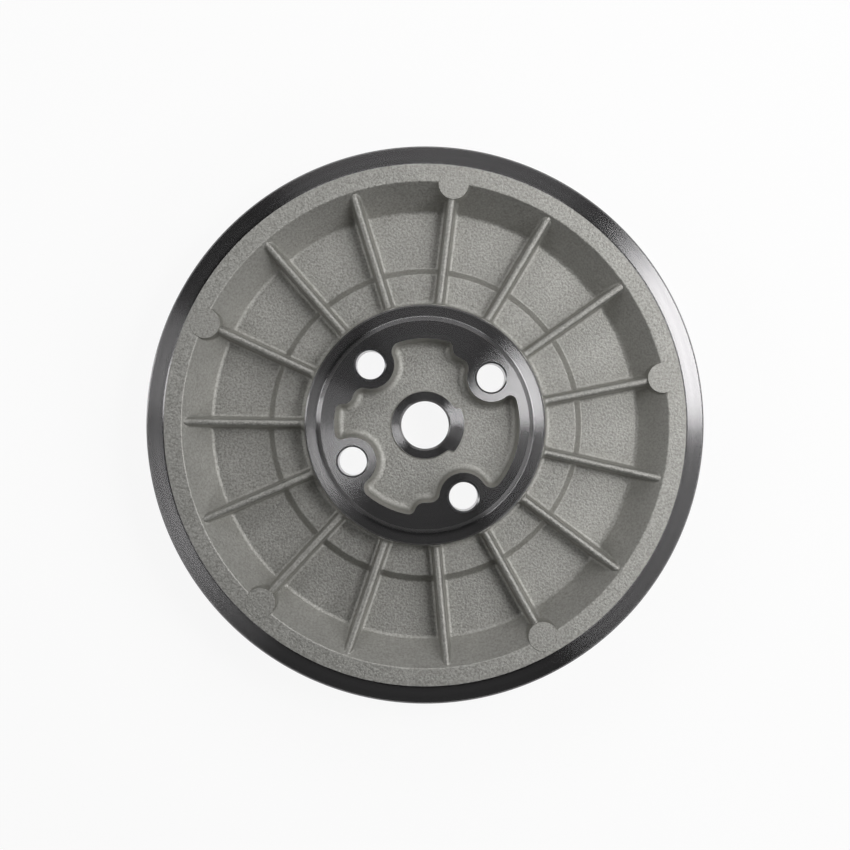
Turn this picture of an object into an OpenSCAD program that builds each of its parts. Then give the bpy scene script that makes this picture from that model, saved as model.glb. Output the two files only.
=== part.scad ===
// Compressor drive wheel: a die-cast aluminium belt pulley in one piece.
// It lies on the back edge of its rim. Its axis is Z, its ribbed front face looks up,
// and the origin is on the axis at the level of the back edge. All sizes are in millimetres.

/* [Rim] */
// Outer diameter of the belt rim
rim_d = 175; // [165:0.5:190]
// Width of the belt rim along the axis
rim_w = 26; // [25:0.5:34]
// Thickness of the rim at its back edge
rim_t = 8; // [6.5:0.25:9]
// Chamfer on the outer corners of the rim and on its back inner corner
rim_chamfer = 0.5; // [0.2:0.1:1]
// Width of the turned ring on the front of the rim
ring_w = 4.8; // [3.5:0.1:6]
// Height of the turned ring above the cast land inside it
ring_rise = 1; // [0.4:0.1:1.6]

/* [Belt grooves] */
// Number of V grooves
groove_count = 6; // [4:1:6]
// Distance from one groove to the next
groove_pitch = 3.56; // [3.2:0.02:3.8]
// Depth of a groove
groove_depth = 3; // [2.2:0.1:3.3]
// Angle between the two flanks of a groove
groove_angle = 40; // [34:1:44]
// Width of the flat root of a groove
groove_root_w = 0.6; // [0.3:0.1:0.8]

/* [Web] */
// Depth of the front pocket, from the cast land to its floor
pocket_depth = 9.5; // [7:0.25:11]
// Radius of the pocket's mouth, where the cast land ends
pocket_mouth_r = 76.4; // [74:0.2:78]
// Radius of the foot of the pocket's sloping wall
pocket_foot_r = 67.9; // [66:0.1:70]
// Thickness of the web
web_t = 5; // [4:0.25:6]
// Radius of the foot of the round step in the web
step_foot_r = 50; // [47:0.5:55]
// Width of the slope of that step
step_run = 2; // [1:0.25:3]
// Height of that step
step_h = 2.5; // [1.5:0.25:3.5]
// Rounding of the edge where the cast land meets the sloping wall
mouth_round = 0.6; // [0.2:0.1:1]
// Fillet at the foot of the sloping wall
foot_round = 1.5; // [0.5:0.25:3]
// Rounding of both edges of the step
step_round = 0.8; // [0.4:0.1:1]
// Fillets and roundings on the back of the web
back_round = 2; // [1:0.25:2.5]

/* [Ribs] */
// Number of ribs
rib_count = 15; // [9:3:18]
// Direction of the first rib
rib_start = 11.2; // [0:0.2:24]
// Drop from the cast land to the top of a rib
rib_drop = 0.6; // [0.3:0.1:1.5]
// Radius of the rounded top of a rib
rib_top_r = 1.15; // [0.8:0.05:1.5]
// Draft of a rib's sides, in degrees
rib_draft = 3.5; // [1:0.5:6]
// Radius of the fillets along a rib's foot
rib_foot_r = 1.3; // [0.8:0.1:2]
// Every how many ribs one ends in a round pad
pad_every = 3; // [1:1:5]
// Diameter of a pad
pad_d = 9.4; // [8:0.2:11]
// Radius of the circle that the pads stand on
pad_circle_r = 76; // [74:0.25:77]
// Height of a pad above the cast land
pad_rise = 0.2; // [0.1:0.1:0.6]
// Draft of a pad's side, in degrees
pad_draft = 3; // [1:0.5:6]

/* [Hub] */
// Diameter of the hub at its front edge
hub_d = 75; // [72:0.5:78]
// Height of the hub's front edge above the turned ring of the rim
hub_rise = 4; // [1:0.5:8]
// Draft of the hub's outer wall, in degrees
hub_draft = 3; // [1:0.5:5]
// Radius of the fillet at the foot of that wall
hub_foot_r = 1.8; // [1:0.2:2.4]
// Chamfer on the hub's outer edge
hub_chamfer = 0.5; // [0.2:0.1:1]
// Diameter of the seat inside the hub's raised edge
seat_d = 64.5; // [62:0.5:66]
// Depth of the seat, which is also the width of the cone round it
seat_depth = 1.5; // [0.8:0.1:2]
// Thickness of the hub between its seat and its back face
flange_t = 9.5; // [8.5:0.5:12]
// Diameter of the hollow behind the hub, at the hub's back face
back_hollow_d = 62.5; // [56:0.5:64]
// Draft of that hollow's wall, as the growth of its radius down to the back of the web
back_hollow_run = 1; // [0.25:0.25:2]
// Fillet round the hub's back face
back_hollow_round = 1; // [0.4:0.1:1.5]

/* [Hub pocket] */
// Radius of the pocket's wall on the side of the lug
cavity_r = 29.4; // [29:0.1:30]
// Radius of its wall between the first and the second bolt boss
cavity_top_r = 26.9; // [26.3:0.1:27.5]
// Radius of its wall from the second bolt boss round to the last
cavity_left_r = 28.2; // [27.6:0.1:28.7]
// Depth of that pocket
cavity_depth = 5.5; // [4.5:0.25:6]
// Draft of its walls, in degrees
cavity_draft = 9; // [5:0.5:10]
// Radius of the fillet round its floor
cavity_fillet_r = 2.4; // [1.2:0.1:2.6]
// Radii of its wall where it is stepped in beside the first, second and last bolt boss
step_rs = [23.4, 24.1, 24.1]; // [23:0.1:24.4]
// Directions in which those stepped stretches end
step_ends = [64, 159.5, 269.5]; // [0:0.5:360]
// Radius of a wide corner of the pocket
corner_r = 3; // [2.4:0.1:3.2]
// Radius of a tight corner of the pocket
tight_corner_r = 2; // [1.6:0.1:2.4]

/* [Holes] */
// Diameter of a bolt hole
bolt_hole_d = 9; // [8.4:0.1:9.4]
// Diameter of the circle through the bolt holes
bolt_circle_d = 50.5; // [48:0.25:53]
// Directions of the bolt holes, unevenly spaced so that the wheel goes on one way only
bolt_angles = [35.5, 132.3, 206.6, 298.3]; // [0:0.1:360]
// Radius of the boss round a bolt hole
bolt_boss_r = 7.45; // [6.5:0.1:8]
// Chamfer at the mouth of a bolt hole
bolt_chamfer = 0.5; // [0.2:0.1:0.7]
// Diameter of the centre bore
bore_d = 15; // [12:0.5:16]
// Chamfer at the mouth of the centre bore
bore_chamfer = 0.6; // [0.2:0.1:1]
// Diameter of the turned face round the centre bore
bore_boss_d = 21.3; // [20:0.1:23]
// Height of that face above the pocket's floor
bore_boss_h = 0.5; // [0.2:0.1:1]
// Radius of the lug on one side of that face
lug_r = 12.45; // [11.8:0.05:13]
// Directions of the two ends of the lug
lug_angles = [-38, 26]; // [-90:1:90]

/* [Hidden] */
$fn = 96;

// Segments in a rounded corner of a turned or cast section
arc_steps = 4;
// Overlap that keeps a cutter clear of the face it cuts through
over = 1;
// How far a rounded corner of the hub's pocket cuts into the walls that it joins
bite = 0.04;
// Angle by which two stretches of the pocket's wall overlap, inside the island between them
lap = 1;

rim_r = rim_d / 2;
ring_r = rim_r - ring_w;
land_r = ring_r - ring_rise;
land_z = rim_w - ring_rise;
floor_z = land_z - pocket_depth;
inner_floor_z = floor_z + step_h;
step_top_r = step_foot_r - step_run;
rib_z = land_z - rib_drop;

hub_r = hub_d / 2;
hub_z = rim_w + hub_rise;
hub_foot_wall_r = hub_r + (hub_z - inner_floor_z) * tan(hub_draft);
seat_r = seat_d / 2;
seat_z = hub_z - seat_depth;
back_face_z = seat_z - flange_t;
cavity_z = seat_z - cavity_depth;
bolt_r = bolt_circle_d / 2;

// The back of the sloping wall lies web_t behind its front, measured square to the slope
slope_run = pocket_mouth_r - pocket_foot_r;
slope_len = norm([slope_run, pocket_depth]);
back_shift = web_t * (slope_len - slope_run) / pocket_depth;
back_foot_r = pocket_foot_r + back_shift;
rim_inner_r = rim_r - rim_t;
back_slope_top_z = floor_z - web_t + (rim_inner_r - back_foot_r) * pocket_depth / slope_run;
step_back_shift = web_t * (norm([step_run, step_h]) - step_run) / step_h;

function polar(r, a) = r * [cos(a), sin(a)];

// Points of the arc of radius r that rounds the corner q between p and s
function corner(p, q, s, r) = r == 0 ? [q] :
    let (
        u = (p - q) / norm(p - q),
        v = (s - q) / norm(s - q),
        half = acos(u * v) / 2,
        centre = q + (u + v) / norm(u + v) * r / sin(half),
        from = q + u * r / tan(half) - centre,
        to = q + v * r / tan(half) - centre,
        start = atan2(from.y, from.x),
        turn = atan2(from.x * to.y - from.y * to.x, from * to)
    )
    [for (i = [0:arc_steps]) centre + polar(r, start + turn * i / arc_steps)];

// Rounds each corner [x, y, radius] of an outline
function rounded(pts) =
    let (n = len(pts), xy = [for (p = pts) [p.x, p.y]])
    [for (i = [0:n - 1]) each corner(xy[(i + n - 1) % n], xy[i], xy[(i + 1) % n], pts[i].z)];

// Belt grooves from back to front, as corners of the turned section
groove_top_w = groove_root_w + 2 * groove_depth * tan(groove_angle / 2);
groove_corners = [
    for (i = [0:groove_count - 1])
    let (z = rim_w / 2 + (i - (groove_count - 1) / 2) * groove_pitch)
    each [
        [rim_r, z - groove_top_w / 2, 0],
        [rim_r - groove_depth, z - groove_root_w / 2, 0],
        [rim_r - groove_depth, z + groove_root_w / 2, 0],
        [rim_r, z + groove_top_w / 2, 0]
    ]
];

// Half section of the wheel without its ribs, pocket and holes: back first, then rim, front and hub
section = rounded(concat(
    [
        [0, back_face_z, 0],
        [back_hollow_d / 2, back_face_z, back_hollow_round],
        [back_hollow_d / 2 + back_hollow_run, inner_floor_z - web_t, back_round],
        [step_top_r - step_back_shift, inner_floor_z - web_t, step_round],
        [step_foot_r - step_back_shift, floor_z - web_t, step_round],
        [back_foot_r, floor_z - web_t, back_round],
        [rim_inner_r, back_slope_top_z, back_round],
        [rim_inner_r, rim_chamfer, 0],
        [rim_inner_r + rim_chamfer, 0, 0],
        [rim_r - rim_chamfer, 0, 0],
        [rim_r, rim_chamfer, 0]
    ],
    groove_corners,
    [
        [rim_r, rim_w - rim_chamfer, 0],
        [rim_r - rim_chamfer, rim_w, 0],
        [ring_r, rim_w, 0],
        [land_r, land_z, 0],
        [pocket_mouth_r, land_z, mouth_round],
        [pocket_foot_r, floor_z, foot_round],
        [step_foot_r, floor_z, step_round],
        [step_top_r, inner_floor_z, step_round],
        [hub_foot_wall_r, inner_floor_z, hub_foot_r],
        [hub_r, hub_z - hub_chamfer, 0],
        [hub_r - hub_chamfer, hub_z, 0],
        [seat_r + seat_depth, hub_z, 0],
        [seat_r, seat_z, 0],
        [0, seat_z, 0]
    ]
));

// Room that ribs and pads may fill: it ends inside the web, the rim and the hub
module rib_room() {
    middle = web_t / 2;
    rotate_extrude()
        polygon([
            [hub_r - 1, inner_floor_z - middle],
            [step_top_r, inner_floor_z - middle],
            [step_foot_r, floor_z - middle],
            [pocket_foot_r, floor_z - middle],
            [pocket_mouth_r, land_z - middle],
            [land_r, land_z - middle],
            [land_r, land_z + pad_rise],
            [hub_r - 1, land_z + pad_rise]
        ]);
}

// Cross section of a rib with its foot fillets on a floor at height foot_z, seen along the rib
module rib_section(foot_z) {
    slope = tan(rib_draft);
    round_z = rib_z - rib_top_r;
    foot_half_w = rib_top_r + (round_z - foot_z) * slope;
    reach = foot_half_w + rib_foot_r;
    sink = web_t;
    translate([0, round_z])
        circle(rib_top_r, $fn = 32);
    polygon([
        [-foot_half_w - sink * slope, foot_z - sink],
        [foot_half_w + sink * slope, foot_z - sink],
        [rib_top_r, round_z],
        [-rib_top_r, round_z]
    ]);
    for (side = [-1, 1])
        difference() {
            translate([side > 0 ? 0 : -reach, foot_z - sink])
                square([reach, sink + rib_foot_r]);
            translate([side * reach, foot_z + rib_foot_r])
                circle(rib_foot_r, $fn = 32);
        }
}

// One rib, from inside the hub's wall out to the rim, on both levels of the web
module rib() {
    root_r = hub_r - 1;
    translate([root_r, 0, 0])
        rotate([90, 0, 90]) {
            linear_extrude(land_r - root_r)
                rib_section(floor_z);
            linear_extrude(step_foot_r - root_r)
                rib_section(inner_floor_z);
        }
}

// Round pad at the outer end of a rib
module pad() {
    height = land_z + pad_rise - (floor_z - web_t);
    translate([pad_circle_r, 0, floor_z - web_t])
        cylinder(h = height, r1 = pad_d / 2 + height * tan(pad_draft), r2 = pad_d / 2);
}

module ribs_and_pads() {
    for (i = [0:rib_count - 1])
        rotate(rib_start + i * 360 / rib_count)
            intersection() {
                union() {
                    rib();
                    if (i % pad_every == 0)
                        pad();
                }
                rib_room();
            }
}

// How far the pocket's wall has moved in from its mouth at a height above its floor: [shift, height]
cavity_flare =
    let (
        top = [0, cavity_depth],
        fillet_x = (cavity_depth - cavity_fillet_r) * tan(cavity_draft) + cavity_fillet_r / cos(cavity_draft)
    )
    concat([top], [
        for (i = [0:arc_steps])
        let (a = (90 - cavity_draft) * (1 - i / arc_steps))
        [fillet_x - cavity_fillet_r * sin(a), cavity_fillet_r * (1 - cos(a))]
    ]);
cavity_shift = cavity_flare[arc_steps + 1].x;

// Round hollow with the pocket's wall: r is its radius at the mouth
module hollow(r) {
    sunk = r > cavity_shift ? [[r - cavity_shift, 0]] : [[0, lookup(r, cavity_flare)]];
    wall = [for (p = cavity_flare) if (p.x < min(r, cavity_shift)) [r - p.x, p.y]];
    rotate_extrude()
        polygon(concat(
            [[0, cavity_depth + over], [r, cavity_depth + over]],
            wall,
            sunk,
            r > cavity_shift ? [[0, 0]] : []
        ));
}

// Round island with the pocket's wall: r is its radius at the top
module island(r) {
    rotate_extrude()
        polygon(concat(
            [[0, -over], [0, cavity_depth + 2 * over], [r, cavity_depth + 2 * over]],
            [for (p = cavity_flare) [r + p.x, p.y]],
            [[r + cavity_shift, -over]]
        ));
}

// Metal between an island and a round wall on one side of it, with a rounded corner in the pocket.
// The island of radius r stands at [dist, angle]; side is 1 for the corner at a larger angle.
// The corner bites a little into both, so that the surfaces cross and never only touch
module flank(dist, angle, r, side, wall_r, round_r) {
    corner_dist = wall_r - round_r + bite;
    span = r + round_r - bite;
    gap = acos((dist * dist + corner_dist * corner_dist - span * span) / (2 * dist * corner_dist));
    at = angle + side * gap;
    reach = cavity_r + 2;
    difference() {
        translate([0, 0, -over])
            linear_extrude(cavity_depth + 3 * over)
                polygon([
                    polar(dist, angle),
                    polar(corner_dist, at),
                    polar(reach, at),
                    polar(reach / cos(gap / 2), angle + side * gap / 2),
                    polar(reach, angle)
                ]);
        translate(concat(polar(corner_dist, at), 0))
            hollow(round_r);
    }
}

// Stretch between two directions in which the pocket's wall has the smaller radius r
module wall_stretch(from, to, r) {
    half = (to - from) / 2;
    reach = cavity_r + 2;
    difference() {
        translate([0, 0, -over])
            linear_extrude(cavity_depth + 3 * over)
                polygon([
                    [0, 0],
                    polar(reach, from),
                    polar(reach / cos(half), from + half),
                    polar(reach, to)
                ]);
        hollow(r);
    }
}

// Stretch where the pocket's wall is stepped in, from a bolt boss to a rounded end at end_angle
// beyond which the wall has the radius wall_r
module stepped_wall(boss_angle, end_angle, step_r, wall_r) {
    side = sign(end_angle - boss_angle);
    end_dist = step_r + corner_r;
    wall_stretch(boss_angle, end_angle, step_r);
    translate(concat(polar(end_dist, end_angle), 0))
        island(corner_r);
    flank(bolt_r, boss_angle, bolt_boss_r, side, step_r, corner_r);
    flank(end_dist, end_angle, corner_r, side, wall_r, tight_corner_r);
}

// Raised face round the centre bore, with the lug on one side
module bore_boss() {
    height = bore_boss_h + over;
    translate([0, 0, -over]) {
        cylinder(h = height, r = bore_boss_d / 2);
        intersection() {
            cylinder(h = height, r = lug_r);
            linear_extrude(height)
                polygon([
                    [0, 0],
                    polar(2 * lug_r, lug_angles[0]),
                    polar(2 * lug_r, (lug_angles[0] + lug_angles[1]) / 2),
                    polar(2 * lug_r, lug_angles[1])
                ]);
        }
    }
}

// The pocket in the seat: all the metal that the casting leaves out round the bolt bosses
module hub_pocket() {
    translate([0, 0, cavity_z])
        difference() {
            hollow(cavity_r);
            for (a = bolt_angles)
                translate(concat(polar(bolt_r, a), 0))
                    island(bolt_boss_r);
            wall_stretch(step_ends[0] - lap, bolt_angles[1], cavity_top_r);
            wall_stretch(step_ends[1] - lap, step_ends[2] + lap, cavity_left_r);
            stepped_wall(bolt_angles[0], step_ends[0], step_rs[0], cavity_top_r);
            stepped_wall(bolt_angles[1], step_ends[1], step_rs[1], cavity_left_r);
            stepped_wall(bolt_angles[3], step_ends[2], step_rs[2], cavity_left_r);
            flank(bolt_r, bolt_angles[0], bolt_boss_r, -1, cavity_r, tight_corner_r);
            flank(bolt_r, bolt_angles[1], bolt_boss_r, -1, cavity_top_r, corner_r);
            flank(bolt_r, bolt_angles[2], bolt_boss_r, -1, cavity_left_r, tight_corner_r);
            flank(bolt_r, bolt_angles[2], bolt_boss_r, 1, cavity_left_r, corner_r);
            flank(bolt_r, bolt_angles[3], bolt_boss_r, 1, cavity_r, corner_r);
            bore_boss();
        }
}

// A drilled hole from the back face up to top_z, with a chamfer at its mouth
module hole(d, chamfer, top_z) {
    translate([0, 0, back_face_z - over])
        cylinder(h = top_z - back_face_z + 2 * over, d = d);
    translate([0, 0, top_z - chamfer])
        cylinder(h = chamfer + over, r1 = d / 2, r2 = d / 2 + chamfer + over);
}

module wheel() {
    color("silver")
        difference() {
            union() {
                rotate_extrude($fn = 180)
                    polygon(section);
                ribs_and_pads();
            }
            hub_pocket();
            for (a = bolt_angles)
                translate(concat(polar(bolt_r, a), 0))
                    hole(bolt_hole_d, bolt_chamfer, seat_z);
            hole(bore_d, bore_chamfer, cavity_z + bore_boss_h);
        }
}

wheel();
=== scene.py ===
import math

import bmesh
import bpy
from mathutils import Matrix, Vector


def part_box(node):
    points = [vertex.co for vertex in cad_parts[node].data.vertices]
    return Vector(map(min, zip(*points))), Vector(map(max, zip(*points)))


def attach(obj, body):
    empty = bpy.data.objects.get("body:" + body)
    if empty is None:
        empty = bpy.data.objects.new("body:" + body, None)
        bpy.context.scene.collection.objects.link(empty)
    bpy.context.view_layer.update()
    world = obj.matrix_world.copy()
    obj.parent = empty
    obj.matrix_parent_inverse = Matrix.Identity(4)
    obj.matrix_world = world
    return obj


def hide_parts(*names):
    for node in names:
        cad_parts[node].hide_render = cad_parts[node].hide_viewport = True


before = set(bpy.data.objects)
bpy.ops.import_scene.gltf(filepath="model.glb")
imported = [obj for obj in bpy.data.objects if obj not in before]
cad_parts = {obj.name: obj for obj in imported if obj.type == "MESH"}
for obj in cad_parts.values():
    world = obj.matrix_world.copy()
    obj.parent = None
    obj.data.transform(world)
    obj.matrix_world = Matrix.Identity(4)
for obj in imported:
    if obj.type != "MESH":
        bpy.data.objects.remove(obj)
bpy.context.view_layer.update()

# ---------------------------------------------------------------- the turned and cast body
# A belt wheel, gravity or pressure cast in aluminium in one piece and shot blasted. Its rim with six V
# grooves, the ring on its front, the hub's faces and the back edge are then turned on a lathe, in circles
# round the axis. All other skin stays as it was cast: a matt, finely pitted grey.
MM = 0.001
low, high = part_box("wheel")
rim_r = min(high.x - low.x, high.y - low.y) / 2 / MM - 0.001
hub_z = high.z / MM
rim_t = 8
rim_chamfer = 0.5
land_z = 25
ring_r = rim_r - 5.1
ring_drop, shoulder_w = 0.4, 0.5       # the lathe cuts the ring a little lower than the cast land
ring_z = land_z - ring_drop
pocket_mouth_r, pocket_foot_r, pocket_depth = 76.4, 67.9, 9.5
floor_z = land_z - pocket_depth
step_foot_r, step_top_r, step_h = 50, 48, 2.5
inner_floor_z = floor_z + step_h
web_t = 5
hub_r, hub_draft = 37.5, math.radians(3)
seat_r, seat_z = 32.4, hub_z           # the seat stands proud of the hub's outer ring, with a cone between
cone_foot_r, hub_ring_z = 33.8, hub_z - 1.5
back_face_z = 19
hub_back_r, hub_back_foot_r = 31.25, 32.25
step_back_low_r, step_back_top_r = 45.6, 47.6
web_back_r, rim_back_r, rim_back_z = 70.1, 79.5, 20.97
groove_count, groove_pitch, groove_depth, groove_root_w = 6, 3.56, 3, 0.6
groove_mid_z = 13
groove_angle = math.radians(40)
turns = 240                     # steps of the turned section


def rounded(corners, steps=6):
    """Points of an outline in which each corner (x, y, radius) is rounded by an arc"""
    points = []
    for i, (x, y, radius) in enumerate(corners):
        here = Vector((x, y))
        if radius == 0:
            points.append(here)
            continue
        before = (Vector(corners[i - 1][:2]) - here).normalized()
        after = (Vector(corners[i + 1][:2]) - here).normalized()
        half = before.angle(after) / 2
        centre = here + (before + after).normalized() * radius / math.sin(half)
        start = here + before * radius / math.tan(half) - centre
        end = here + after * radius / math.tan(half) - centre
        turn = start.angle_signed(end)
        for k in range(steps + 1):
            points.append(centre + Matrix.Rotation(-turn * k / steps, 2) @ start)
    return points


def new_piece(name, mesh):
    piece = bpy.data.objects.new(name, mesh)
    bpy.context.collection.objects.link(piece)
    return piece


def pick(piece):
    """Makes a piece the only selected object and the active one"""
    bpy.ops.object.select_all(action="DESELECT")
    piece.select_set(True)
    bpy.context.view_layer.objects.active = piece


groove_top_w = groove_root_w + 2 * groove_depth * math.tan(groove_angle / 2)
grooves = []
for i in range(groove_count):
    z = groove_mid_z + (i - (groove_count - 1) / 2) * groove_pitch
    grooves += [
        (rim_r, z - groove_top_w / 2, 0.15),
        (rim_r - groove_depth, z - groove_root_w / 2, 0.2),
        (rim_r - groove_depth, z + groove_root_w / 2, 0.2),
        (rim_r, z + groove_top_w / 2, 0.15),
    ]

back = rounded([
    (0, back_face_z, 0),
    (hub_back_r, back_face_z, 1),
    (hub_back_foot_r, inner_floor_z - web_t, 2),
    (step_back_low_r, inner_floor_z - web_t, 1),
    (step_back_top_r, floor_z - web_t, 1),
    (web_back_r, floor_z - web_t, 2),
    (rim_back_r, rim_back_z, 2),
    (rim_r - rim_t, rim_chamfer, 0),
    (rim_r - rim_t + rim_chamfer, 0, 0),
])
rim = rounded([(rim_r - rim_chamfer, 0, 0), (rim_r, rim_chamfer, 0)] + grooves
              + [(rim_r, ring_z - rim_chamfer, 0), (rim_r - rim_chamfer, ring_z, 0)], steps=2)
front = rounded([
    (ring_r, ring_z, 0),
    (ring_r - shoulder_w, land_z, 0),
    (pocket_mouth_r, land_z, 0.8),
    (pocket_foot_r, floor_z, 1.8),
    (step_foot_r, floor_z, 0.8),
    (step_top_r, inner_floor_z, 0.8),
    (hub_r + (hub_ring_z - inner_floor_z) * math.tan(hub_draft), inner_floor_z, 1.8),
    (hub_r, hub_ring_z - 0.5, 0),
])
hub = rounded([
    (hub_r - 0.5, hub_ring_z, 0),
    (cone_foot_r, hub_ring_z, 0.6),
    (seat_r, seat_z, 0),
    (0, seat_z, 0),
])
section = back + rim + front + hub

mesh = bpy.data.meshes.new("wheel_casting")
mesh.from_pydata([(p.x * MM, 0, p.y * MM) for p in section], [(i, i + 1) for i in range(len(section) - 1)], [])
wheel = new_piece("wheel_casting", mesh)
pick(wheel)
bpy.ops.object.mode_set(mode="EDIT")
bpy.ops.mesh.select_all(action="SELECT")
bpy.ops.mesh.spin(steps=turns, angle=math.tau, center=(0, 0, 0), axis=(0, 0, 1))
bpy.ops.mesh.select_all(action="SELECT")
bpy.ops.mesh.remove_doubles(threshold=1e-6)
bpy.ops.mesh.dissolve_degenerate(threshold=1e-7)
bpy.ops.mesh.normals_make_consistent(inside=False)
bpy.ops.object.mode_set(mode="OBJECT")


# ---------------------------------------------------------------- ribs
# Fifteen cast ribs stand on the web like spokes. Each has drafted sides, a fully rounded top just under the
# rim's land, and fillets all round its foot, so that the metal fills the mould and the rib leaves it easily.
# It runs down the web's step and up the sloping wall, where it dies out in a pointed end.
rib_count, rib_start = 15, math.radians(11.2)
rib_z = land_z - 0.6
rib_top_r, rib_draft, rib_foot_r = 1.15, math.radians(3.5), 1.2
hub_wall_r, hub_fillet = 37.9, 1.4     # where a rib meets the hub's wall, and its fillet there
rib_sink = 0.012                       # how far the rib's skirt dips into the web, so that both meshes cross
rib_root = 1.5                         # how deep it reaches into the web
web_front = sorted([(p.x, p.y) for p in front[4:]], key=lambda p: p[0])


def web_z(r):
    """Height of the web's front face at radius r"""
    if r <= hub_wall_r:
        r = hub_wall_r
    for (r0, z0), (r1, z1) in zip(web_front, web_front[1:]):
        if r0 <= r <= r1:
            return z0 + (z1 - z0) * (r - r0) / (r1 - r0)
    return land_z


def rib_half(height, flare):
    """Half section of a rib that stands so high over its base, as (side, height) from its top's middle down"""
    if height < 1e-4:
        height = 1e-4
    total = rib_top_r + rib_foot_r
    lean = max(rib_draft, math.asin(min(1, max(0, (total - height) / total))))
    top = [(rib_top_r * math.sin(a), height - rib_top_r * (1 - math.cos(a)))
           for a in [k / 6 * (math.pi / 2 - lean) for k in range(7)]]
    drop = max(0, top[-1][1] - rib_foot_r * (1 - math.sin(lean)))
    foot_x = top[-1][0] + drop * math.tan(rib_draft) + rib_foot_r * math.cos(lean)
    foot = [(foot_x - rib_foot_r * math.cos(a), rib_foot_r * (1 - math.sin(a)))
            for a in [lean + k / 7 * (math.pi / 2 - lean) for k in range(8)]]
    return [(x + flare * min(1, k), z) for k, (x, z) in enumerate(top + foot)]


stations = [36.6] + [hub_wall_r + hub_fillet * (1 - math.cos(math.pi / 2 * k / 6)) for k in range(7)]
stations += [r for r, z in web_front if stations[-1] + 0.1 < r < 69.5]
stations += [43, 46, 54, 58, 62, 65, 70.5, 71.5, 72.5, 73.3, 74, 74.6, 75.1, 75.5, 75.75]
tip_r = pocket_mouth_r - 0.6 * (pocket_mouth_r - pocket_foot_r) / pocket_depth
stations = sorted(r for r in stations if r < tip_r - 0.02) + [tip_r]


def skin(name, rows):
    """A grid drawn over rows of points in millimetres, each row with as many points"""
    bpy.ops.mesh.primitive_grid_add(x_subdivisions=len(rows[0]) - 1, y_subdivisions=len(rows) - 1)
    piece = bpy.context.object
    piece.name = name
    for vertex, point in zip(piece.data.vertices, [point for row in rows for point in row]):
        vertex.co = Vector(point) * MM
    return piece


def close_up():
    """Merges the seams of the active skin, caps its open ends and turns its faces outwards"""
    bpy.ops.object.mode_set(mode="EDIT")
    bpy.ops.mesh.select_all(action="SELECT")
    bpy.ops.mesh.remove_doubles(threshold=1e-7)
    bpy.ops.mesh.select_all(action="DESELECT")
    bpy.ops.mesh.select_mode(type="EDGE")
    bpy.ops.mesh.select_non_manifold()
    bpy.ops.mesh.fill_holes(sides=0)
    bpy.ops.mesh.select_all(action="SELECT")
    bpy.ops.mesh.normals_make_consistent(inside=False)
    bpy.ops.object.mode_set(mode="OBJECT")


def rib_row(r):
    """The rib's skin across it at radius r"""
    into_fillet = max(0, min(1, (r - hub_wall_r) / hub_fillet))
    flare = hub_fillet * (1 - math.sqrt(1 - (1 - into_fillet) ** 2))
    base = web_z(r)
    half = rib_half(rib_z + flare - base, flare)
    row = [(-x, z) for x, z in reversed(half[1:])] + half
    row += [(row[-1][0], -rib_root), (row[0][0], -rib_root), row[0]]
    return [(math.sqrt(r * r - x * x), x, base + z - rib_sink) for x, z in row]


rib = skin("rib", [rib_row(r) for r in stations])
close_up()


def turned_copies(piece, count, start, name):
    """A set of copies round the axis, as one mesh"""
    parts = bmesh.new()
    for i in range(count):
        mesh = piece.data.copy()
        mesh.transform(Matrix.Rotation(start + i * math.tau / count, 4, "Z"))
        parts.from_mesh(mesh)
        bpy.data.meshes.remove(mesh)
    mesh = bpy.data.meshes.new(name)
    parts.to_mesh(mesh)
    parts.free()
    return new_piece(name, mesh)


def combine(piece, other, operation):
    """Joins another piece to this one, or cuts it out of this one, and removes it"""
    pick(piece)
    change = piece.modifiers.new(other.name, "BOOLEAN")
    change.operation = operation
    change.solver = "EXACT"
    change.object = other
    bpy.ops.object.modifier_apply(modifier=change.name)
    bpy.data.objects.remove(other)


ribs = turned_copies(rib, rib_count, rib_start, "ribs")
bpy.data.objects.remove(rib)
combine(wheel, ribs, "UNION")


# ---------------------------------------------------------------- pads
# Every third rib ends in a round pad, where an ejector pin pushed the casting out of its mould. The pad is
# a low drafted post against the sloping wall, and its flat top stands a trace above the rim's land.
pad_every, pad_r, pad_circle_r = 3, 4.7, 76
pad_z = land_z + 0.2                   # much less, and the cuts that follow leave the mesh open
pad_draft, pad_edge, pad_foot_r = math.radians(3), 0.1, 0.7


def pad_row(angle):
    """The pad's skin from its middle out, in one direction round its own axis"""
    out = Vector((math.cos(angle), math.sin(angle)))
    row = [(0, pad_z), (pad_r * 0.6, pad_z)]
    row += [(pad_r - pad_edge * (1 - math.sin(a)), pad_z - pad_edge * (1 - math.cos(a)))
            for a in (0, math.pi / 6, math.pi / 3, math.pi / 2)]
    at = Vector((pad_circle_r, 0)) + out * pad_r
    wall = web_z(at.length)
    fillet = min(pad_foot_r, 0.8 * (pad_z - pad_edge - wall))
    side = pad_r + (pad_z - wall) * math.tan(pad_draft)
    for a in [k / 6 * math.pi / 2 for k in range(7)]:
        reach = side + fillet * (1 - math.cos(a))
        wall = web_z((Vector((pad_circle_r, 0)) + out * reach).length)
        row.append((reach, wall + fillet * (1 - math.sin(a)) - rib_sink))
    row += [(reach, wall - rib_root), (0, web_z(pad_circle_r) - rib_root)]
    return [(pad_circle_r + out.x * x, out.y * x, z) for x, z in row]


pad = skin("pad", [pad_row(k / 48 * math.tau) for k in range(49)])
close_up()
pads = turned_copies(pad, rib_count // pad_every, rib_start, "pads")
bpy.data.objects.remove(pad)
combine(wheel, pads, "UNION")

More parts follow.
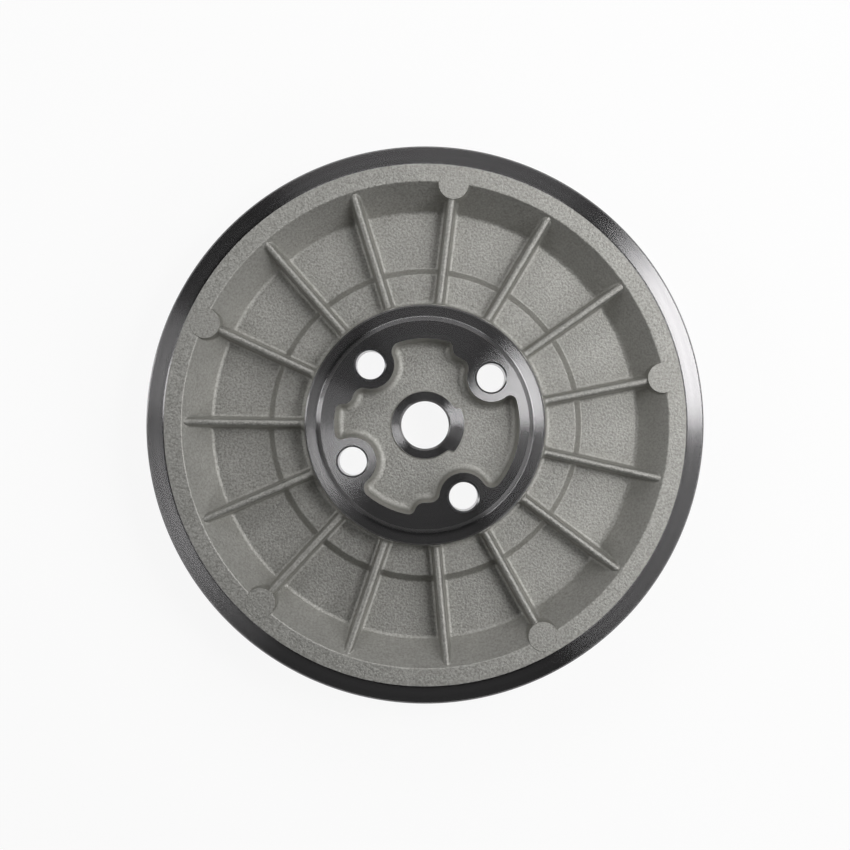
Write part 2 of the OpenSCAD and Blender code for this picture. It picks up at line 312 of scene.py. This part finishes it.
# ---------------------------------------------------------------- hub pocket
# The hub's face is hollowed round its four bolt bosses, to keep the casting's walls even. The hollow has
# steep drafted walls and a wide fillet round its floor. The bosses are unevenly spaced, so that the wheel
# bolts on one way only, and beside three of them the wall is stepped in.
right_r, top_r, left_r = 29.4, 26.9, 28.2
steps = ((23.4, 64), (24.1, 159.5), (24.1, 269.5))     # radius and end of each stepped stretch
cavity_depth, cavity_draft, cavity_fillet_r = 7, math.radians(7), 2.4
cavity_z = seat_z - cavity_depth
wide_corner_r, tight_corner_r = 3, 2
bolt_circle_r, bolt_boss_r = 25.25, 7.45
bolt_angles = (35.5, 132.3, 206.6, 298.3)


def polar(r, degrees):
    return Vector((r * math.cos(math.radians(degrees)), r * math.sin(math.radians(degrees))))


def bend(centre, r, side):
    """An arc of the pocket's outline: side is 1 where it bulges out, -1 where it goes round an island"""
    return {"centre": Vector(centre), "r": r, "side": side}


def corner(dist, degrees, r, side, wall_r, corner_r):
    """Arc that joins a round wall to the island of radius r at (dist, degrees), on one side of it"""
    corner_dist = wall_r - corner_r
    span = r + corner_r
    gap = math.acos((dist ** 2 + corner_dist ** 2 - span ** 2) / (2 * dist * corner_dist))
    return bend(polar(corner_dist, degrees + side * math.degrees(gap)), corner_r, 1)


def round_wall(r):
    return bend((0, 0), r, 1)


bosses = [bend(polar(bolt_circle_r, a), bolt_boss_r, -1) for a in bolt_angles]
ends = [bend(polar(r + wide_corner_r, a), wide_corner_r, -1) for r, a in steps]


def by_boss(which, side, wall_r, corner_r):
    return corner(bolt_circle_r, bolt_angles[which], bolt_boss_r, side, wall_r, corner_r)


def by_end(which, side, wall_r):
    r, degrees = steps[which]
    return corner(r + wide_corner_r, degrees, wide_corner_r, side, wall_r, tight_corner_r)


step_rs = [r for r, degrees in steps]
pocket_outline = [
    round_wall(right_r), by_boss(0, -1, right_r, tight_corner_r), bosses[0],
    by_boss(0, 1, step_rs[0], wide_corner_r), round_wall(step_rs[0]), ends[0], by_end(0, 1, top_r),
    round_wall(top_r), by_boss(1, -1, top_r, wide_corner_r), bosses[1],
    by_boss(1, 1, step_rs[1], wide_corner_r), round_wall(step_rs[1]), ends[1], by_end(1, 1, left_r),
    round_wall(left_r), by_boss(2, -1, left_r, tight_corner_r), bosses[2], by_boss(2, 1, left_r, wide_corner_r),
    round_wall(left_r), by_end(2, -1, left_r), ends[2],
    round_wall(step_rs[2]), by_boss(3, -1, step_rs[2], wide_corner_r), bosses[3],
    by_boss(3, 1, right_r, wide_corner_r),
]


def meeting(one, other, inset):
    """Where two arcs that touch meet, once both have moved into the pocket by inset"""
    toward = (other["centre"] - one["centre"]).normalized()
    if one["side"] == other["side"] and one["r"] < other["r"]:
        toward.negate()
    return one["centre"] + toward * (one["r"] - one["side"] * inset)


def crossing(one, other, inset, near):
    """Where two arcs cross, next to a corner that has shrunk away"""
    r0, r1 = (arc["r"] - arc["side"] * inset for arc in (one, other))
    line = other["centre"] - one["centre"]
    along = (line.length_squared + r0 * r0 - r1 * r1) / (2 * line.length)
    across = math.sqrt(max(0, r0 * r0 - along * along))
    u = line.normalized()
    spots = [one["centre"] + u * along + Vector((-u.y, u.x)) * s * across for s in (-1, 1)]
    return min(spots, key=lambda spot: (spot - near).length)


def outline_ring(outline, inset, z, spacing=0.75):
    """Points of an outline of touching arcs, moved into it by inset"""
    count = len(outline)
    gone = [arc["side"] > 0 and arc["r"] <= inset for arc in outline]
    starts = []
    for i, arc in enumerate(outline):
        last = outline[i - 1]
        if gone[i]:
            starts.append(crossing(last, outline[(i + 1) % count], inset, arc["centre"]))
        elif gone[i - 1]:
            starts.append(crossing(outline[i - 2], arc, inset, last["centre"]))
        else:
            starts.append(meeting(last, arc, inset))
    points = []
    for i, arc in enumerate(outline):
        first = meeting(outline[i - 1], arc, 0) - arc["centre"]
        last = meeting(arc, outline[(i + 1) % count], 0) - arc["centre"]
        turn = first.angle_signed(last)
        full = -turn if -turn * arc["side"] > 0 else -turn + arc["side"] * math.tau
        steps = max(4, round(abs(full) * arc["r"] / spacing))
        if gone[i]:
            points += [starts[i]] * steps
            continue
        first = starts[i] - arc["centre"]
        last = starts[(i + 1) % count] - arc["centre"]
        turn = -first.angle_signed(last)
        turn = turn if turn * arc["side"] > 0 else turn + arc["side"] * math.tau
        points += [arc["centre"] + Matrix.Rotation(turn * k / steps, 2) @ first for k in range(steps)]
    return [(p.x, p.y, z) for p in points + points[:1]]


fillet_start = (cavity_depth - cavity_fillet_r) * math.tan(cavity_draft) + cavity_fillet_r / math.cos(cavity_draft)
levels = [(0, seat_z + 1), (0, seat_z)]
for k in range(9):
    a = (math.pi / 2 - cavity_draft) * (1 - k / 8)
    levels.append((fillet_start - cavity_fillet_r * math.sin(a), cavity_z + cavity_fillet_r * (1 - math.cos(a))))
hub_pocket = skin("hub_pocket", [outline_ring(pocket_outline, inset, z) for inset, z in levels])
close_up()
combine(wheel, hub_pocket, "DIFFERENCE")

# ---------------------------------------------------------------- centre boss
# In the middle of the hollow stands a low boss, turned flat, with a lug on one side. The lug is what was
# left of the casting's gate, so its outline is rounded and its face was turned with the boss.
bore_boss_r, lug_r, lug_corner_r, lug_foot_r = 10.65, 12.45, 0.8, 1.5
bore_boss_z = cavity_z + 0.5
lug_ends = (-40, 23)


def lug_bends(degrees, side):
    """The lug's outer corner and the hollow beside it, at one end of the lug"""
    out, across = bore_boss_r + lug_foot_r, lug_r - lug_corner_r
    span = lug_corner_r + lug_foot_r
    gap = math.acos((out ** 2 + across ** 2 - span ** 2) / (2 * out * across))
    return [bend(polar(across, degrees), lug_corner_r, 1),
            bend(polar(out, degrees + side * math.degrees(gap)), lug_foot_r, -1)]


lug_low, lug_high = lug_bends(lug_ends[0], -1), lug_bends(lug_ends[1], 1)
boss_outline = [bend((0, 0), lug_r, 1), *lug_high, bend((0, 0), bore_boss_r, 1), *reversed(lug_low)]
boss_levels = [(0.1, bore_boss_z), (0.03, bore_boss_z - 0.03), (0, bore_boss_z - 0.1), (-0.08, cavity_z + 0.12),
               (-0.2, cavity_z - 0.01), (-0.2, cavity_z - 1)]
centre_boss = skin("centre_boss", [outline_ring(boss_outline, inset, z, 0.5) for inset, z in boss_levels])
close_up()
combine(wheel, centre_boss, "UNION")

# ---------------------------------------------------------------- holes
# A centre bore and four bolt holes are drilled from the front and lightly countersunk.
bore_r, bolt_r = 7.5, 4.5
bore_chamfer, bolt_chamfer = 0.6, 0.5


def hole(centre, r, chamfer, top_z):
    """A drill's way through the hub, with a countersink at top_z"""
    over = 1
    rows = []
    for radius, z in [(r + chamfer + over, top_z + over), (r + chamfer, top_z), (r, top_z - chamfer),
                      (r, back_face_z + chamfer), (r + chamfer, back_face_z), (r + chamfer + over, back_face_z - over)]:
        rows.append([(centre.x + radius * math.cos(a), centre.y + radius * math.sin(a), z)
                     for a in [k / 96 * math.tau for k in range(97)]])
    cutter = skin("hole", rows)
    close_up()
    combine(wheel, cutter, "DIFFERENCE")


hole(Vector((0, 0)), bore_r, bore_chamfer, bore_boss_z)
for a in bolt_angles:
    hole(polar(bolt_circle_r, a), bolt_r, bolt_chamfer, seat_z)


# ---------------------------------------------------------------- finishes
CAST, TURNED, DRILLED = range(3)


def is_drilled(face):
    """Faces of the bolt holes"""
    at = Vector((face.center.x, face.center.y)) / MM
    return abs(face.normal.z) < 0.9 and any(
        (at - polar(bolt_circle_r, a)).length < bolt_r + 0.6 for a in bolt_angles)


def is_turned(face):
    """Faces that the lathe has cut: the rest of the skin is as it was cast"""
    r, z = math.hypot(face.center.x, face.center.y) / MM, face.center.z / MM
    flat = abs(face.normal.z) > 0.99
    ring = r > ring_r - shoulder_w and z > ring_z - rim_chamfer
    belt = r > rim_r - groove_depth - 0.6
    back_edge = r > rim_r - rim_t and z < rim_chamfer + 0.01
    hub_face = r < hub_r + 0.02 and z > hub_ring_z - 0.5 and r > seat_r - 0.1
    seat = flat and abs(z - seat_z) < 0.02
    centre = r < bore_boss_r + 2 and flat and abs(z - bore_boss_z) < 0.02
    back_face = flat and abs(z - back_face_z) < 0.02
    bore = not flat and r < bore_r + 0.6
    return ring or belt or back_edge or hub_face or seat or centre or back_face or bore


def linear(hex_colour):
    """An sRGB hex colour as the linear colour that a shader takes"""
    parts = [int(hex_colour[i:i + 2], 16) / 255 for i in (1, 3, 5)]
    return [c / 12.92 if c <= 0.04045 else ((c + 0.055) / 1.055) ** 2.4 for c in parts] + [1]


def node(tree, kind, settings=None, **links):
    """Adds a node, with its settings, and its inputs as values or links"""
    made = tree.nodes.new(kind)
    for name, value in (settings or {}).items():
        setattr(made, name, value)
    for name, value in links.items():
        numbered = name[0] == "i" and name[1:].isdigit()
        socket = made.inputs[int(name[1:]) if numbered else name.replace("_", " ")]
        if isinstance(value, bpy.types.NodeSocket):
            tree.links.new(value, socket)
        else:
            socket.default_value = value
    return made


# Shot-blasted cast aluminium: steel shot leaves close, shallow dents, so it is a matt grey that sparkles with
# paler and darker grains and mirrors nothing. Steep walls, which the shot only grazes, are smoother. The
# dents are 0.3 to 0.6 mm wide in life and are drawn from 0.7 mm down, the finest that still shows.
cast = bpy.data.materials.new("shot_blasted_cast_aluminium")
cast.use_nodes = True
tree = cast.node_tree
shader = tree.nodes["Principled BSDF"]
place = node(tree, "ShaderNodeTexCoord")
facing = node(tree, "ShaderNodeSeparateXYZ", Vector=place.outputs["Normal"])
steep = node(tree, "ShaderNodeMath", {"operation": "ABSOLUTE"}, i0=facing.outputs["Z"])
blasted = node(tree, "ShaderNodeMapRange", Value=steep.outputs[0],
               From_Min=0.5, From_Max=0.95, To_Min=0.45, To_Max=1.0)
dents = node(tree, "ShaderNodeTexNoise", Vector=place.outputs["Object"], Scale=1 / 0.0007, Detail=2.0, Roughness=0.6)
patches = node(tree, "ShaderNodeTexNoise", Vector=place.outputs["Object"], Scale=1 / 0.009, Detail=2.0, Roughness=0.5)
grains = node(tree, "ShaderNodeMapRange", Value=dents.outputs["Fac"], From_Min=0.32, From_Max=0.68)
even = node(tree, "ShaderNodeMix", {"data_type": "FLOAT"}, Factor=blasted.outputs[0], A=0.5, B=grains.outputs[0])
metal = node(tree, "ShaderNodeMix", {"data_type": "RGBA"}, Factor=even.outputs["Result"],
             i6=linear("#9a9994"), i7=linear("#c0bfbb"))
dulled = node(tree, "ShaderNodeMapRange", Value=patches.outputs["Fac"],
              From_Min=0.3, From_Max=0.7, To_Min=0.97, To_Max=1.03)
toned = node(tree, "ShaderNodeVectorMath", {"operation": "SCALE"}, Vector=metal.outputs[2], Scale=dulled.outputs[0])
matt = node(tree, "ShaderNodeMapRange", Value=dents.outputs["Fac"],
            From_Min=0.3, From_Max=0.7, To_Min=0.56, To_Max=0.66)
depth = node(tree, "ShaderNodeMath", {"operation": "MULTIPLY"}, i0=dents.outputs["Fac"], i1=blasted.outputs[0])
relief = node(tree, "ShaderNodeBump", Height=depth.outputs[0], Strength=1.0, Distance=0.00014)
tree.links.new(toned.outputs[0], shader.inputs["Base Color"])
tree.links.new(matt.outputs[0], shader.inputs["Roughness"])
tree.links.new(relief.outputs["Normal"], shader.inputs["Normal"])
shader.inputs["Metallic"].default_value = 1

# Turned aluminium: the tool leaves fine rings round the axis, so a light shows as a bright sector with sharp
# sides that runs straight across all the turned faces. The feed is 0.1 to 0.2 mm in life, too fine to show,
# so its rings are drawn faintly and 1.5 mm apart: the finish stays smooth and silky.
turned = bpy.data.materials.new("turned_aluminium")
turned.use_nodes = True
tree = turned.node_tree
shader = tree.nodes["Principled BSDF"]
place = node(tree, "ShaderNodeTexCoord")
across = node(tree, "ShaderNodeVectorMath", {"operation": "MULTIPLY"}, i0=place.outputs["Object"], i1=(1, 1, 0))
radius = node(tree, "ShaderNodeVectorMath", {"operation": "LENGTH"}, i0=across.outputs[0])
along = node(tree, "ShaderNodeSeparateXYZ", Vector=place.outputs["Object"])
feed = node(tree, "ShaderNodeMath", {"operation": "ADD"}, i0=radius.outputs["Value"], i1=along.outputs["Z"])
rings = node(tree, "ShaderNodeTexNoise", {"noise_dimensions": "1D"}, W=feed.outputs[0], Scale=1 / 0.0015, Detail=0.0)
metal = node(tree, "ShaderNodeMix", {"data_type": "RGBA"}, Factor=rings.outputs["Fac"],
             i6=linear("#8d8c8d"), i7=linear("#949394"))
cut = node(tree, "ShaderNodeMapRange", Value=rings.outputs["Fac"],
           From_Min=0.3, From_Max=0.7, To_Min=0.268, To_Max=0.272)
tree.links.new(metal.outputs[2], shader.inputs["Base Color"])
tree.links.new(cut.outputs[0], shader.inputs["Roughness"])
shader.inputs["Metallic"].default_value = 1
shader.inputs["Anisotropic"].default_value = 1
shader.inputs["Anisotropic Rotation"].default_value = 0.25
tangent = node(tree, "ShaderNodeTangent", {"direction_type": "RADIAL", "axis": "Z"})
tree.links.new(tangent.outputs["Tangent"], shader.inputs["Tangent"])

# Drilled aluminium: the drill leaves faint rings round the wall of each hole, 0.4 mm apart as drawn, so that
# it is brighter than the cast skin but shows no sharp reflection.
drilled = bpy.data.materials.new("drilled_aluminium")
drilled.use_nodes = True
tree = drilled.node_tree
shader = tree.nodes["Principled BSDF"]
place = node(tree, "ShaderNodeTexCoord")
along = node(tree, "ShaderNodeSeparateXYZ", Vector=place.outputs["Object"])
rings = node(tree, "ShaderNodeTexNoise", {"noise_dimensions": "1D"},
             W=along.outputs["Z"], Scale=1 / 0.0004, Detail=2.0)
metal = node(tree, "ShaderNodeMix", {"data_type": "RGBA"}, Factor=rings.outputs["Fac"],
             i6=linear("#989899"), i7=linear("#bcbcbe"))
cut = node(tree, "ShaderNodeMapRange", Value=rings.outputs["Fac"],
           From_Min=0.3, From_Max=0.7, To_Min=0.26, To_Max=0.36)
relief = node(tree, "ShaderNodeBump", Height=rings.outputs["Fac"], Strength=1.0, Distance=0.00002)
tree.links.new(metal.outputs[2], shader.inputs["Base Color"])
tree.links.new(cut.outputs[0], shader.inputs["Roughness"])
tree.links.new(relief.outputs["Normal"], shader.inputs["Normal"])
shader.inputs["Metallic"].default_value = 1

wheel.data.materials.clear()
wheel.data.materials.append(cast)
wheel.data.materials.append(turned)
wheel.data.materials.append(drilled)
for face in wheel.data.polygons:
    face.material_index = DRILLED if is_drilled(face) else TURNED if is_turned(face) else CAST
pick(wheel)
bpy.ops.object.shade_smooth_by_angle(angle=math.radians(32))
smooth = wheel.modifiers.new("even_shading", "WEIGHTED_NORMAL")
smooth.keep_sharp = True
bpy.ops.object.modifier_apply(modifier=smooth.name)
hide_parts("wheel")
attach(wheel, "root")

# ---------------------------------------------------------------- studio
# The wheel lies on its back edge on a plain white table, and the camera looks straight down its axis.
floor_half = 3
bpy.ops.mesh.primitive_plane_add(size=2 * floor_half, location=(0, 0, 0))
floor = bpy.context.object
floor.name = "floor"
# White paper: matt, so it takes the wheel's shadow, and it shows itself and its reflection nearly white.
paper = bpy.data.materials.new("white_paper")
paper.use_nodes = True
tree = paper.node_tree
shader = tree.nodes["Principled BSDF"]
shader.inputs["Base Color"].default_value = linear("#f4f4f4")
shader.inputs["Roughness"].default_value = 0.9
path = node(tree, "ShaderNodeLightPath")
seen = node(tree, "ShaderNodeMath", {"operation": "MAXIMUM"},
            i0=path.outputs["Is Camera Ray"], i1=path.outputs["Is Glossy Ray"])
share = node(tree, "ShaderNodeMath", {"operation": "MULTIPLY"}, i0=seen.outputs[0], i1=0.9)
glow = node(tree, "ShaderNodeEmission", Color=(1, 1, 1, 1), Strength=1)
mix = node(tree, "ShaderNodeMixShader", i0=share.outputs[0], i1=shader.outputs[0], i2=glow.outputs[0])
tree.links.new(mix.outputs[0], tree.nodes["Material Output"].inputs["Surface"])
floor.data.materials.append(paper)

camera_height = 0.475
frame_distance, frame_width = 0.45, 0.2664      # the picture is so wide at that distance, in metres
camera = bpy.data.objects.new("camera", bpy.data.cameras.new("camera"))
bpy.context.collection.objects.link(camera)
camera.location = (0, 0, camera_height)
camera.data.sensor_width = 36
camera.data.lens = camera.data.sensor_width * frame_distance / frame_width
camera.data.clip_start = 0.01
bpy.context.scene.camera = camera

# The room is white to the camera and gives the wheel only a trace of fill light.
fill_light = 0.03
world = bpy.data.worlds.new("studio")
bpy.context.scene.world = world
world.use_nodes = True
tree = world.node_tree
backdrop = tree.nodes["Background"]
backdrop.inputs["Color"].default_value = (1, 1, 1, 1)
path = node(tree, "ShaderNodeLightPath")
strength = node(tree, "ShaderNodeMath", {"operation": "MAXIMUM"}, i0=path.outputs["Is Camera Ray"], i1=fill_light)
tree.links.new(strength.outputs[0], backdrop.inputs["Strength"])


lamp_distance = 0.55


def softbox(name, turn, rise, width, height, power, shift=0):
    """A softbox lamp_distance from the hub, turned round the wheel and raised above it by so many degrees"""
    turn, rise = math.radians(turn), math.radians(rise)
    light = bpy.data.lights.new(name, "AREA")
    light.shape = "RECTANGLE"
    light.size, light.size_y = width, height
    light.energy = power
    lamp = bpy.data.objects.new(name, light)
    bpy.context.collection.objects.link(lamp)
    out = Vector((math.cos(turn) * math.cos(rise), math.sin(turn) * math.cos(rise), math.sin(rise)))
    side = Vector((-math.sin(turn), math.cos(turn), 0)) * shift
    lamp.location = lamp_distance * out + side + Vector((0, 0, land_z * MM))
    lamp.rotation_euler = out.to_track_quat("Z", "Y").to_euler()


softbox("key", 0, 45, 0.32, 0.34, 0.82, shift=0.16)
softbox("key_top", 0, 66, 0.17, 0.12, 0.7, shift=0.085)
softbox("upper", 88, 37, 0.56, 0.22, 0.95)
softbox("left", 166, 36, 0.16, 0.18, 0.4)
softbox("left_low", 172, 8, 0.12, 0.12, 0.2)
softbox("lower_left", 216, 37, 0.28, 0.16, 0.16)
softbox("lower_right", 330, 36, 0.42, 0.18, 0.85)

bpy.context.scene.view_settings.view_transform = "Standard"
